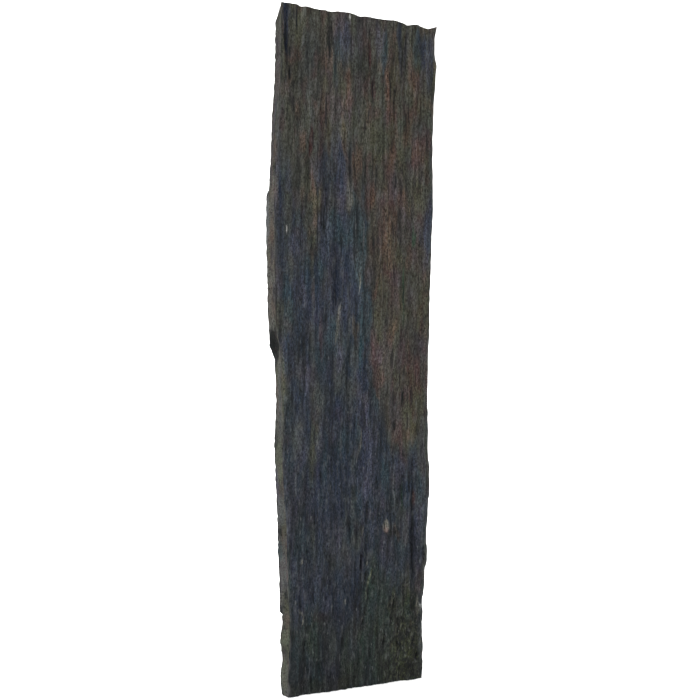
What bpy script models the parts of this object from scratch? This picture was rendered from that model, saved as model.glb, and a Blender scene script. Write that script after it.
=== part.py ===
"""One riven slate slab, a palisade stone that stands on its sawn foot.

Metres, +Z up. The slab's front face looks towards -Y and its width runs along X.
The origin is the middle of the foot, on the ground.
"""

import math
from collections import namedtuple

import bmesh
import bpy
from mathutils import Vector, noise

# Driving dimensions.
MM = 0.001
HEIGHT = 1.000
THICKNESS = 0.032
CREST_DEPTH = 0.020  # how far behind the front face the left side stands out most
LEFT_BACK_INSET = 0.0065  # the left side falls back this far from its crest to the back face
RIGHT_BULGE = 0.0025  # the right side stands out this far halfway through the thickness
RIGHT_BACK_INSET = 0.0030

# The grid that carries the surface.
COLUMNS = 30
ROW_STEP = 0.0165
SIDE_STEPS = (0.0, 0.32, CREST_DEPTH / THICKNESS, 0.82, 1.0)  # shares of the thickness
SHARP_ROWS = (0.0, 0.118, 0.122, 0.491, 0.512, 0.534, 0.727, 0.736, 0.982, 1.0)  # at each break

# Outlines in millimetres, each point a height and an offset to the right.
LEFT_FRONT_EDGE = (
    (0, -110), (25, -110.5), (47, -109.5), (68, -108), (83, -107), (112, -107), (141, -109.5),
    (199, -111.5), (257, -112.5), (286, -114.5), (315, -116.5), (373, -118.5), (431, -120),
    (491, -121.5), (512, -122), (534, -128.2), (546, -128.5), (603, -130), (660, -130.5),
    (718, -130.5), (775, -129.5), (803, -128), (832, -126.5), (861, -124), (889, -121.5),
    (947, -120), (975, -120), (1000, -119),
)
LEFT_CREST = (
    (0, -113.5), (20, -115.5), (38, -115), (43, -113.5), (55, -112.5), (64, -114), (79, -116),
    (89, -116), (101, -113.5), (118, -112), (122, -117), (137, -116), (167, -117), (196, -118.5),
    (226, -119), (255, -120), (284, -120.5), (313, -122.5), (335, -122.5), (350, -124.5),
    (372, -124), (401, -122.5), (430, -121.5), (474, -122.5), (491, -123), (503, -127.5),
    (512, -131), (546, -132.5), (575, -134), (604, -134.5), (633, -135), (662, -136), (691, -136),
    (727, -136), (731, -135), (737, -131.5), (748, -131), (777, -129.5), (821, -128), (842, -127.5),
    (864, -125.5), (893, -124), (908, -123.5), (922, -122), (981, -121.5), (1000, -115),
)
RIGHT_FRONT_EDGE = (
    (0, 106), (12, 107), (20, 108.5), (46, 108.5), (58, 107.5), (120, 107.5), (135, 109),
    (158, 111), (177, 112.5), (181, 114), (211, 114), (242, 115), (272, 116), (295, 117.5),
    (326, 117.5), (349, 115.5), (425, 115), (501, 116.5), (524, 118.5), (577, 119), (608, 120.5),
    (669, 122.5), (729, 124), (821, 123.5), (851, 125), (881, 126), (912, 128.5), (939, 130),
    (960, 127), (982, 127), (1000, 131),
)
# The broken head, each point an offset to the right and a height.
HEAD = (
    (-121, 1000), (-104, 1000), (-97, 999.5), (-89, 996.5), (-76, 997.5), (-65, 995.5),
    (-42, 995.5), (-33, 996.5), (-11, 996), (3, 993.5), (14, 994.5), (34, 992.5), (64, 994),
    (70, 993), (78, 990.5), (84, 990), (99, 993), (107, 990), (115, 987.5), (123, 989.5),
    (131, 992.5),
)
HEAD_BACK_DROP = 0.0045
HEAD_ROUGHNESS = 0.0018

# Riven relief: a height, and the length of its waves across and along the slab.
Waves = namedtuple("Waves", "height across along seed")
FRONT_SWELL = Waves(0.0010, 0.110, 0.420, 3.1)
FRONT_RIDGES = Waves(0.0017, 0.019, 0.300, 11.7)
FRONT_STREAKS = Waves(0.0019, 0.0085, 0.140, 17.9)
FRONT_LEAVES = Waves(0.0008, 0.052, 0.210, 23.3)
BACK_SWELL = Waves(0.0012, 0.130, 0.380, 41.9)
BACK_RIDGES = Waves(0.0016, 0.022, 0.260, 57.3)
BACK_STREAKS = Waves(0.0017, 0.0090, 0.120, 63.1)
BACK_LEAVES = Waves(0.0011, 0.060, 0.200, 71.1)
SIDE_CHIPS = Waves(0.0009, 0.018, 0.030, 83.5)
HEAD_CHIPS = Waves(1.0, 0.016, 0.020, 97.7)
LEAF_COUNT = 5.0
LEAF_FLATNESS = 0.65  # share of each leaf that stays level before it steps down
FACE_LIMIT = 0.0028  # no ridge stands further out or lies deeper, grooves apart
EDGE_CALM_WIDTH = 0.012  # the relief calms down over this distance from the left and right edges
EDGE_CALM_SHARE = 0.35  # and keeps this share of its height at them

# A groove runs straight from its head to its foot: millimetres, with its half width and depth.
Groove = namedtuple("Groove", "head_x head_z foot_x foot_z half_width depth")
FRONT_GROOVES = (
    Groove(-112, 985, -110, 900, 5, 3.2),
    Groove(-42, 1000, -45, 925, 5, 1.8),
    Groove(19, 970, 24, 885, 5, 2.2),
    Groove(-73, 830, -75, 775, 5, 1.6),
    Groove(-49, 740, -56, 660, 5, 2.0),
    Groove(-31, 625, -40, 560, 6, 2.2),
    Groove(92, 735, 76, 520, 6, 1.6),
    Groove(62, 470, 59, 300, 6, 1.5),
    Groove(94, 340, 90, 120, 6, 2.6),
    Groove(-76, 430, -79, 300, 6, 1.3),
    Groove(-84, 125, -87, 0, 6, 1.8),
    Groove(72, 150, 66, 0, 9, 2.0),
    Groove(13, 180, 10, 90, 6, 1.8),
)
FRONT_RIDGE_LINES = (
    Groove(-118, 870, -122, 560, 6, -1.2),
    Groove(-18, 780, -12, 690, 7, -1.6),
    Groove(6, 700, 5, 470, 6, -1.4),
    Groove(50, 900, 55, 560, 9, -1.3),
    Groove(102, 320, 99, 60, 7, -1.4),
    Groove(-60, 300, -66, 60, 9, -1.2),
    Groove(30, 300, 36, 40, 8, -1.3),
)
BACK_GROOVES = (
    Groove(-70, 960, -62, 610, 7, 2.4),
    Groove(38, 1000, 30, 720, 8, 2.0),
    Groove(74, 560, 88, 180, 7, 2.6),
    Groove(-28, 480, -34, 60, 8, 2.2),
    Groove(5, 760, 12, 520, 7, -1.6),
)
GROOVE_FADE = 18.0  # millimetres over which a groove starts and ends

# The left edge is broken away above the middle of the slab: its front leaves are gone there,
# and the leaves behind them still stand out to the crest.
NOTCH_HEIGHT = 0.512
NOTCH_HALF_HEIGHT = 0.026
NOTCH_STEEPNESS = 2.0  # how soon the break is fully cut, going in from its upper and lower ends
NOTCH_SHARPNESS = 3.0  # how late the side turns out to the crest inside the break

STONE_COLOUR = (0.046, 0.050, 0.056, 1.0)
STONE_ROUGHNESS = 0.62


def clear_scene():
    for item in list(bpy.data.objects):
        bpy.data.objects.remove(item, do_unlink=True)


def interpolate(points, position):
    """Return the second value of a list of pairs at a position among the first values."""
    previous = points[0]
    if position <= previous[0]:
        return previous[1]
    for point in points[1:]:
        if position <= point[0]:
            share = (position - previous[0]) / (point[0] - previous[0])
            return previous[1] + share * (point[1] - previous[1])
        previous = point
    return previous[1]


def outline(points, position):
    return interpolate(points, position / MM) * MM


def smooth_step(value):
    value = min(max(value, 0.0), 1.0)
    return value * value * (3.0 - 2.0 * value)


def wave(waves, across, along):
    """Return smooth noise between about -1 and 1, stretched along the slab."""
    return noise.noise(Vector((across / waves.across, waves.seed, along / waves.along)))


def leaves(waves, across, along):
    """Return terraces with level treads, as thin sheets that have split away leave."""
    level = wave(waves, across, along) * LEAF_COUNT
    tread = math.floor(level)
    rise = smooth_step((level - tread - LEAF_FLATNESS) / (1.0 - LEAF_FLATNESS))
    return tread + rise


def groove_depth(grooves, across, along):
    """Return how deep the named grooves cut at a point of a face."""
    x = across / MM
    z = along / MM
    depth = 0.0
    for groove in grooves:
        share = (groove.head_z - z) / (groove.head_z - groove.foot_z)
        centre = groove.head_x + share * (groove.foot_x - groove.head_x)
        beyond = max(z - groove.head_z, groove.foot_z - z, 0.0)
        reach = smooth_step(1.0 - beyond / GROOVE_FADE)
        nearness = math.exp(-(((x - centre) / groove.half_width) ** 2))
        depth += groove.depth * reach * nearness
    return depth * MM


def edge_calm(across, along):
    """Return the share of the relief that is left near the slab's two long edges."""
    left = outline(LEFT_FRONT_EDGE, along)
    right = outline(RIGHT_FRONT_EDGE, along)
    inside = smooth_step(min(across - left, right - across) / EDGE_CALM_WIDTH)
    return EDGE_CALM_SHARE + (1.0 - EDGE_CALM_SHARE) * inside


def riven_height(swell, ridges, streaks, leaf, across, along):
    height = leaf.height * leaves(leaf, across, along)
    for waves in (swell, ridges, streaks):
        height += waves.height * wave(waves, across, along)
    return edge_calm(across, along) * min(max(height, -FACE_LIMIT), FACE_LIMIT)


def front_depth(across, along):
    """Return the front face's Y: more is deeper into the stone."""
    height = riven_height(FRONT_SWELL, FRONT_RIDGES, FRONT_STREAKS, FRONT_LEAVES, across, along)
    cuts = groove_depth(FRONT_GROOVES, across, along)
    ridges = groove_depth(FRONT_RIDGE_LINES, across, along)
    return cuts + ridges - height


def back_depth(across, along):
    """Return the back face's Y: more stands further out behind."""
    height = riven_height(BACK_SWELL, BACK_RIDGES, BACK_STREAKS, BACK_LEAVES, across, along)
    return THICKNESS + height - groove_depth(BACK_GROOVES, across, along)


def left_side(through, along):
    """Return X on the left side at a share of the thickness and a height."""
    edge = outline(LEFT_FRONT_EDGE, along)
    crest = outline(LEFT_CREST, along)
    crest_share = CREST_DEPTH / THICKNESS
    if through > crest_share:
        return crest + LEFT_BACK_INSET * (through - crest_share) / (1.0 - crest_share)
    inside = 1.0 - abs(along - NOTCH_HEIGHT) / NOTCH_HALF_HEIGHT
    broken = NOTCH_SHARPNESS * smooth_step(NOTCH_STEEPNESS * inside)
    share = (through / crest_share) ** (1.0 + broken)
    return edge + (crest - edge) * share


def right_side(through, along):
    """Return X on the right side at a share of the thickness and a height."""
    edge = outline(RIGHT_FRONT_EDGE, along)
    bulge = RIGHT_BULGE * math.sin(math.pi * through)
    return edge + bulge - RIGHT_BACK_INSET * through * through


def side_chips(through, along):
    """Return the dressed sides' unevenness, which fades out at the front edge and the crest."""
    fade = math.sin(math.pi * through)
    return SIDE_CHIPS.height * fade * wave(SIDE_CHIPS, through * THICKNESS, along)


def head_height(across, through):
    """Return the height of the broken head."""
    front = outline(HEAD, across)
    rough = HEAD_ROUGHNESS * wave(HEAD_CHIPS, across, through * THICKNESS)
    return front - through * (HEAD_BACK_DROP + rough)


def surface_point(across_share, through, along_share):
    """Return the point of the slab at shares of its width, thickness and height."""
    along = along_share * HEIGHT
    left = left_side(through, along)
    right = right_side(through, along) + side_chips(through, along)
    across = left + (right - left) * across_share
    front = front_depth(across, along)
    back = back_depth(across, along)
    depth = front + (back - front) * through
    return Vector((across, depth, along_share * head_height(across, through)))


def row_heights():
    """Return the rows' shares of the height: even, and exactly at each sharp break."""
    rows = [SHARP_ROWS[0]]
    for low, high in zip(SHARP_ROWS, SHARP_ROWS[1:]):
        count = max(1, round((high - low) / ROW_STEP))
        for step in range(1, count + 1):
            rows.append(low + (high - low) * step / count)
    return [row / HEIGHT for row in rows]


def build_slab():
    """Return a mesh of the closed slab: four walls, the broken head and the flat foot."""
    rows = row_heights()
    last_row = len(rows) - 1
    last_side = len(SIDE_STEPS) - 1
    mesh = bmesh.new()
    vertices = {}

    def vertex(column, side, row):
        key = (column, side, row)
        if key not in vertices:
            point = surface_point(column / COLUMNS, SIDE_STEPS[side], rows[row])
            vertices[key] = mesh.verts.new(point)
        return vertices[key]

    ring = [(column, 0) for column in range(COLUMNS)]
    ring += [(COLUMNS, side) for side in range(last_side)]
    ring += [(column, last_side) for column in range(COLUMNS, 0, -1)]
    ring += [(0, side) for side in range(last_side, 0, -1)]

    for row in range(last_row):
        for start, end in zip(ring, ring[1:] + ring[:1]):
            low = (vertex(*start, row), vertex(*end, row))
            high = (vertex(*end, row + 1), vertex(*start, row + 1))
            mesh.faces.new(low + high)
    for column in range(COLUMNS):
        for side in range(last_side):
            near = (vertex(column, side, last_row), vertex(column + 1, side, last_row))
            far = (vertex(column + 1, side + 1, last_row), vertex(column, side + 1, last_row))
            mesh.faces.new(near + far)
    mesh.faces.new([vertex(*corner, 0) for corner in reversed(ring)])
    return mesh


def centre_on_foot(mesh):
    """Put the origin under the middle of the slab's box, on the ground."""
    for axis in (0, 1):
        low = min(vertex.co[axis] for vertex in mesh.verts)
        high = max(vertex.co[axis] for vertex in mesh.verts)
        for vertex in mesh.verts:
            vertex.co[axis] -= (low + high) / 2.0


def slate_material():
    material = bpy.data.materials.new("slate")
    material.use_nodes = True
    shader = material.node_tree.nodes["Principled BSDF"]
    shader.inputs["Base Color"].default_value = STONE_COLOUR
    shader.inputs["Roughness"].default_value = STONE_ROUGHNESS
    shader.inputs["Metallic"].default_value = 0.0
    return material


def main():
    clear_scene()
    mesh = build_slab()
    centre_on_foot(mesh)
    bmesh.ops.triangulate(mesh, faces=mesh.faces[:])
    bmesh.ops.recalc_face_normals(mesh, faces=mesh.faces[:])
    data = bpy.data.meshes.new("slate_slab")
    mesh.to_mesh(data)
    mesh.free()
    data.materials.append(slate_material())
    slab = bpy.data.objects.new("slate_slab", data)
    bpy.context.scene.collection.objects.link(slab)


main()
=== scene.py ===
import math

import bmesh
import bpy
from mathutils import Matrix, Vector, noise


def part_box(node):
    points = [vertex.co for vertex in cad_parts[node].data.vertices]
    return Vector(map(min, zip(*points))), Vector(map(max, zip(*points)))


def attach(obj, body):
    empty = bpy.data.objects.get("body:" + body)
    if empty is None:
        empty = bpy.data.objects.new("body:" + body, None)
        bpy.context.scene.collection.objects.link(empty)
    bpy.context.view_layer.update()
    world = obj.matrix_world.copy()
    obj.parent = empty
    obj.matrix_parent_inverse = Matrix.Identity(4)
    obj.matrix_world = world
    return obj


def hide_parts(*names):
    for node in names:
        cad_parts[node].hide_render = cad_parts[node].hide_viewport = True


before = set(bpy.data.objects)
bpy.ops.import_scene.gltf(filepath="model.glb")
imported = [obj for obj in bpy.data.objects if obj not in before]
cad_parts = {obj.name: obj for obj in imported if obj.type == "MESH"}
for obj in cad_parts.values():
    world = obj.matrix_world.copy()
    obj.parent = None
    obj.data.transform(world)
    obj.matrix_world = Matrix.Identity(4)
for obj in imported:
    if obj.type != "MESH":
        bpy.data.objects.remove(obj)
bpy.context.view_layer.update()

mm = 0.001

# ---- the slab's shape -----------------------------------------------------------------------
# Heights and offsets are in millimetres, measured from the foot and to the right.
slab = {
    "height": 1.000,
    "thickness": 0.032,
    "crestDepth": 0.020,  # how far behind the front face the left side stands out most
    "leftBackInset": 0.0065,
    "rightBulge": 0.0025,
    "rightBackInset": 0.0030,
    "headBackDrop": 0.0045,
    "headRoughness": 0.0018,
    "columns": 156,
    "rowStep": 0.0038,
    "sideSteps": 14,
    "sharpRows": (0.0, 0.118, 0.122, 0.491, 0.512, 0.534, 0.727, 0.736, 0.982, 1.0),
    "faceLimit": 0.0028,
    "edgeCalmWidth": 0.012,
    "edgeCalmShare": 0.35,
    "notchHeight": 0.512,
    "notchHalfHeight": 0.026,
    "notchSteepness": 2.0,
    "notchSharpness": 3.0,
    "leafCount": 5.0,
    "leafFlatness": 0.65,
    "grooveFade": 18.0,
    "sharpAngle": 38.0,
    "raggedMost": 11.0,
    "combMost": 24.0,
    "softMost": 22.0,
    "stainSoftness": 0.55,
    "markSoftness": 0.40,
    "edgeRaggedness": 0.30,
    "edgeSoftness": 0.22,
    # the relief attribute also drives painted shade in the hollows and painted highlight on the ridges
    "reliefRange": 0.0022,  # fine relief from the darkest hollow to the palest ridge
}

leftFrontEdge = (
    (0, -110), (25, -110.5), (47, -109.5), (68, -108), (83, -107), (112, -107), (141, -109.5),
    (199, -111.5), (257, -112.5), (286, -114.5), (315, -116.5), (373, -118.5), (431, -120),
    (491, -121.5), (512, -122), (534, -128.2), (546, -128.5), (603, -130), (660, -130.5),
    (718, -130.5), (775, -129.5), (803, -128), (832, -126.5), (861, -124), (889, -121.5),
    (947, -120), (975, -120), (1000, -119),
)
leftCrest = (
    (0, -113.5), (20, -115.5), (38, -115), (43, -113.5), (55, -112.5), (64, -114), (79, -116),
    (89, -116), (101, -113.5), (118, -112), (122, -117), (137, -116), (167, -117), (196, -118.5),
    (226, -119), (255, -120), (284, -120.5), (313, -122.5), (335, -122.5), (350, -124.5),
    (372, -124), (401, -122.5), (430, -121.5), (474, -122.5), (491, -123), (503, -127.5),
    (512, -131), (546, -132.5), (575, -134), (604, -134.5), (633, -135), (662, -136), (691, -136),
    (727, -136), (731, -135), (737, -131.5), (748, -131), (777, -129.5), (821, -128), (842, -127.5),
    (864, -125.5), (893, -124), (908, -123.5), (922, -122), (981, -121.5), (1000, -115),
)
rightFrontEdge = (
    (0, 106), (12, 107), (20, 108.5), (46, 108.5), (58, 107.5), (120, 107.5), (135, 109),
    (158, 111.8), (177, 113.3), (181, 115), (211, 115), (242, 116), (272, 117), (295, 118.4),
    (326, 118.4), (349, 116.4), (425, 115.9), (501, 116.9), (524, 118.5), (577, 119), (608, 120.5),
    (669, 122.5), (729, 124), (821, 123.5), (851, 125), (881, 126), (912, 128.5), (939, 130),
    (960, 127), (982, 127), (1000, 131),
)
head = (
    (-121, 1000.8), (-104, 1000.8), (-97, 1000.8), (-89, 998), (-76, 998.9), (-65, 996.3),
    (-42, 996.2), (-33, 997), (-11, 996), (3, 993.5), (14, 994.5), (34, 992.5), (64, 994),
    (70, 993), (78, 990.5), (84, 990), (99, 993), (107, 990), (115, 987.5), (123, 989.5),
    (131, 992.5),
)

# Waves of the riven faces: height, length across, length along (metres) and a seed.
frontWaves = {
    "swell": (0.0010, 0.110, 0.420, 3.1),
    "ridges": (0.0017, 0.019, 0.300, 11.7),
    "streaks": (0.0019, 0.0085, 0.140, 17.9),
    "leaves": (0.0008, 0.052, 0.210, 23.3),
}
backWaves = {
    "swell": (0.0012, 0.130, 0.380, 41.9),
    "ridges": (0.0016, 0.022, 0.260, 57.3),
    "streaks": (0.0017, 0.0090, 0.120, 63.1),
    "leaves": (0.0011, 0.060, 0.200, 71.1),
}
sideChips = (0.0009, 0.018, 0.030, 83.5)
headChips = (1.0, 0.016, 0.020, 97.7)

# Finer relief that only the dressed slab has.
fine = {
    "fibres": (0.00045, 0.0062, 0.080, 5.3),
    "threads": (0.00062, 0.0038, 0.017, 7.9),
    "grain": (0.00050, 0.0030, 0.009, 9.1),
    "flakes": (0.00045, 0.0110, 0.050, 13.7),
    "flakeCount": 3.0,
    "flakeFlatness": 0.80,
    "splits": (0.0012, 0.0072, 0.026, 45.1),
    "splitTilt": 1.1,
    "footCalm": 0.020,
    "splitShare": ((0, 1.25), (260, 1.2), (450, 0.72), (1000, 0.52)),
    "lean": 0.035,  # the fibres lean this far to the right for each metre of height
    "wander": 0.004,
    "edgeReach": 0.0014,  # the outlines stand out this much to make up for the bites
    "arrisWear": 0.0004,
    "arrisWidth": 0.0045,
    "laminae": (0.00045, 0.0017, 0.120, 29.3),
    "bites": (0.0015, 0.009, 0.012, 31.1),
    "edgeTeeth": (0.00035, 0.0050, 0.0110, 37.7),
    "headTeeth": (0.0009, 0.0045, 0.0030, 39.1),
}

# Straight grooves, and ridges with a negative depth: head x and z, foot x and z, half width, depth.
frontGrooves = (
    (-113, 990, -113, 940, 3.5, 2.4),
    (-109, 940, -108, 895, 3.5, 2.2),
    (-42, 1000, -45, 925, 5, 1.8),
    (19, 970, 24, 885, 5, 2.2),
    (-73, 830, -75, 775, 5, 1.6),
    (-49, 740, -56, 660, 5, 2.0),
    (-31, 625, -40, 560, 6, 2.2),
    (92, 735, 76, 520, 6, 1.6),
    (62, 470, 59, 300, 6, 1.5),
    (94, 340, 90, 120, 6, 2.6),
    (-76, 430, -79, 300, 6, 1.3),
    (-84, 125, -87, 0, 6, 1.8),
    (72, 150, 66, 0, 9, 2.0),
    (13, 180, 10, 90, 6, 1.8),
    (-118, 870, -122, 560, 6, -1.2),
    (-18, 780, -12, 690, 7, -1.6),
    (6, 700, 5, 470, 6, -1.4),
    (50, 900, 55, 560, 9, -1.3),
    (102, 320, 99, 60, 7, -1.4),
    (-60, 300, -66, 60, 9, -1.2),
    (30, 300, 36, 40, 8, -1.3),
)
backGrooves = (
    (-70, 960, -62, 610, 7, 2.4),
    (38, 1000, 30, 720, 8, 2.0),
    (74, 560, 88, 180, 7, 2.6),
    (-28, 480, -34, 60, 8, 2.2),
    (5, 760, 12, 520, 7, -1.6),
)


# Crusted places: centre x and z, half width and half height, depth (millimetres).
frontCrusts = (
    (74, 62, 26, 74, 1.9),
    (98, 16, 22, 26, 1.5),
    (60, 120, 12, 34, 1.5),
    (102, 108, 9, 20, 1.0),
    (-60, 108, 22, 16, 0.8),
    (12, 150, 12, 42, 1.0),
    (4, 60, 26, 40, 0.5),
    (-92, 30, 26, 40, 0.4),
)
crustGrain = (0.0048, 0.0062, 51.3)

# Pigments of the stone, as screen values from 0 to 255.
pigments = {
    "rust": (74, 54, 44),
    "red": (63, 45, 42),
    "brown": (51, 47, 41),
    "wine": (48, 33, 33),
    "plum": (57, 49, 54),
    "olive": (49, 50, 38),
    "sage": (74, 79, 66),
    "moss": (46, 52, 25),
    "green": (33, 46, 36),
    "teal": (32, 46, 50),
    "blue": (31, 38, 48),
    "mist": (52, 59, 62),
    "navy": (24, 30, 43),
    "violet": (52, 51, 65),
    "black": (13, 15, 15),
    "grey": (74, 77, 78),
    "pale": (96, 95, 88),
    "white": (165, 165, 162),
    "ochre": (82, 74, 56),
    "pink": (112, 94, 86),
}

# Stains: pigment, centre x and z, half width and half height (millimetres), lean, strength.
frontStains = (
    ("blue", -34, 712, 24, 95, 0.00, 0.90),
    ("blue", -60, 680, 14, 60, 0.00, 0.75),
    ("blue", -40, 560, 62, 120, 0.00, 0.90),
    ("blue", -96, 580, 28, 130, 0.00, 0.75),
    ("blue", -35, 380, 92, 130, 0.00, 0.92),
    ("blue", -20, 230, 135, 150, 0.00, 0.85),
    ("blue", 104, 320, 18, 80, 0.00, 0.60),
    ("plum", 107, 285, 8, 60, 0.00, 0.55),
    ("navy", -123, 690, 9, 95, 0.00, 0.60),
    ("blue", -112, 545, 12, 62, 0.00, 0.85),
    ("blue", -114, 670, 14, 90, 0.00, 0.70),
    ("brown", 62, 660, 48, 120, 0.00, 0.80),
    ("brown", 100, 620, 24, 80, 0.00, 0.55),
    ("brown", 72, 495, 50, 125, 0.00, 0.85),
    ("olive", -76, 715, 12, 60, 0.00, 0.60),
    ("olive", -72, 600, 4, 90, 0.00, 0.55),
    ("olive", -73, 410, 7, 90, 0.00, 0.48),
    ("rust", 55, 880, 10, 58, 0.00, 0.72),
    ("rust", 55, 800, 9, 34, 0.00, 0.66),
    ("plum", 55, 762, 8, 26, 0.00, 0.45),
    ("rust", 50, 700, 12, 50, 0.00, 0.55),
    ("rust", 43, 615, 10, 50, 0.00, 0.40),
    ("rust", 36, 562, 6, 22, 0.00, 0.36),
    ("rust", -18, 893, 7, 26, 0.00, 0.38),
    ("plum", -13, 858, 9, 24, 0.00, 0.65),
    ("rust", -56, 866, 9, 26, 0.00, 0.34),
    ("wine", -52, 823, 10, 22, 0.00, 0.50),
    ("ochre", -25, 820, 5, 20, 0.00, 0.45),
    ("rust", -2, 783, 9, 24, 0.00, 0.38),
    ("rust", 20, 735, 8, 16, 0.00, 0.65),
    ("rust", 98, 890, 9, 32, 0.00, 0.50),
    ("olive", 78, 840, 12, 26, 0.00, 0.60),
    ("brown", 30, 822, 12, 30, 0.00, 0.45),
    ("green", 104, 845, 8, 22, 0.00, 0.60),
    ("rust", 103, 800, 9, 30, 0.00, 0.65),
    ("olive", 96, 750, 13, 28, 0.00, 0.65),
    ("rust", -73, 749, 4, 16, 0.00, 0.60),
    ("red", 91, 478, 8, 28, 0.00, 0.80),
    ("red", 92, 440, 7, 18, 0.00, 0.75),
    ("red", 27, 505, 7, 30, 0.00, 0.75),
    ("red", 34, 462, 7, 18, 0.00, 0.70),
    ("red", 118, 470, 4, 26, 0.00, 0.55),
    ("olive", 64, 530, 12, 20, 0.00, 0.60),
    ("olive", 86, 408, 12, 16, 0.00, 0.60),
    ("red", 78, 384, 9, 14, 0.00, 0.70),
    ("red", 60, 600, 6, 34, 0.00, 0.55),
    ("red", 106, 560, 6, 30, 0.00, 0.50),
    ("violet", 118, 690, 9, 50, 0.00, 0.90),
    ("blue", 113, 962, 13, 28, 0.00, 0.80),
    ("navy", 110, 958, 5, 22, 0.00, 0.80),
    ("navy", 123, 968, 4, 22, 0.00, 0.60),
    ("navy", 120, 925, 5, 34, 0.00, 0.60),
    ("green", 98, 945, 5, 26, 0.00, 0.40),
    ("teal", 97, 974, 8, 12, 0.00, 0.70),
    ("violet", 80, 966, 5, 24, 0.00, 0.50),
    ("navy", 69, 962, 4, 42, 0.00, 0.90),
    ("brown", 55, 955, 6, 42, 0.00, 0.85),
    ("teal", 43, 945, 4, 38, 0.00, 0.80),
    ("violet", 34, 968, 7, 20, 0.00, 0.45),
    ("ochre", 56, 908, 4, 18, 0.00, 0.55),
    ("rust", 94, 920, 7, 16, 0.00, 0.36),
    ("plum", -6, 968, 20, 24, 0.00, 0.45),
    ("blue", -27, 955, 11, 42, 0.00, 0.60),
    ("teal", -37, 913, 5, 24, 0.00, 0.75),
    ("brown", -55, 955, 5, 36, 0.00, 0.70),
    ("navy", -108, 990, 9, 12, 0.00, 0.60),
    ("olive", -88, 985, 12, 14, 0.00, 0.50),
    ("navy", -34, 664, 10, 32, 0.00, 0.55),
    ("mist", -3, 655, 14, 80, 0.00, 0.90),
    ("teal", 4, 590, 9, 40, 0.00, 0.50),
    ("teal", -36, 380, 12, 36, 0.00, 0.55),
    ("navy", 14, 428, 9, 24, 0.00, 0.55),
    ("violet", -46, 253, 20, 30, 0.00, 0.30),
    ("violet", -42, 500, 18, 30, 0.00, 0.35),
    ("teal", 82, 302, 7, 38, 0.00, 0.62),
    ("navy", 89, 240, 7, 66, 0.00, 0.80),
    ("rust", 62, 229, 6, 9, 0.00, 0.45),
    ("teal", 28, 128, 34, 60, 0.00, 0.45),
    ("green", 34, 110, 30, 66, 0.00, 0.65),
    ("moss", 76, 66, 24, 70, 0.00, 1.00),
    ("moss", 60, 20, 30, 20, 0.00, 0.70),
    ("green", 88, 104, 7, 18, 0.00, 0.80),
    ("plum", 101, 168, 11, 26, 0.00, 0.55),
    ("olive", 46, 40, 20, 34, 0.00, 0.70),
    ("teal", -80, 54, 34, 60, 0.00, 0.65),
    ("green", 14, 44, 50, 54, 0.00, 0.70),
    ("navy", -40, 130, 46, 50, 0.00, 0.40),
    ("navy", -44, 45, 18, 50, 0.00, 0.45),
    ("green", -70, 84, 10, 36, 0.00, 0.60),
    ("olive", -8, 88, 16, 26, 0.00, 0.50),
    ("olive", -60, 10, 60, 12, 0.00, 0.45),
    ("green", -111, 185, 3, 50, 0.00, 0.80),
    ("sage", -119, 440, 3, 50, 0.00, 0.60),
)
backStains = (
    ("brown", 30, 760, 60, 170, 0.05, 0.60),
    ("blue", -60, 520, 50, 220, 0.00, 0.70),
    ("brown", 60, 300, 40, 160, 0.03, 0.55),
    ("blue", -20, 120, 90, 110, 0.00, 0.60),
    ("olive", -95, 860, 22, 110, 0.00, 0.60),
)
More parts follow.
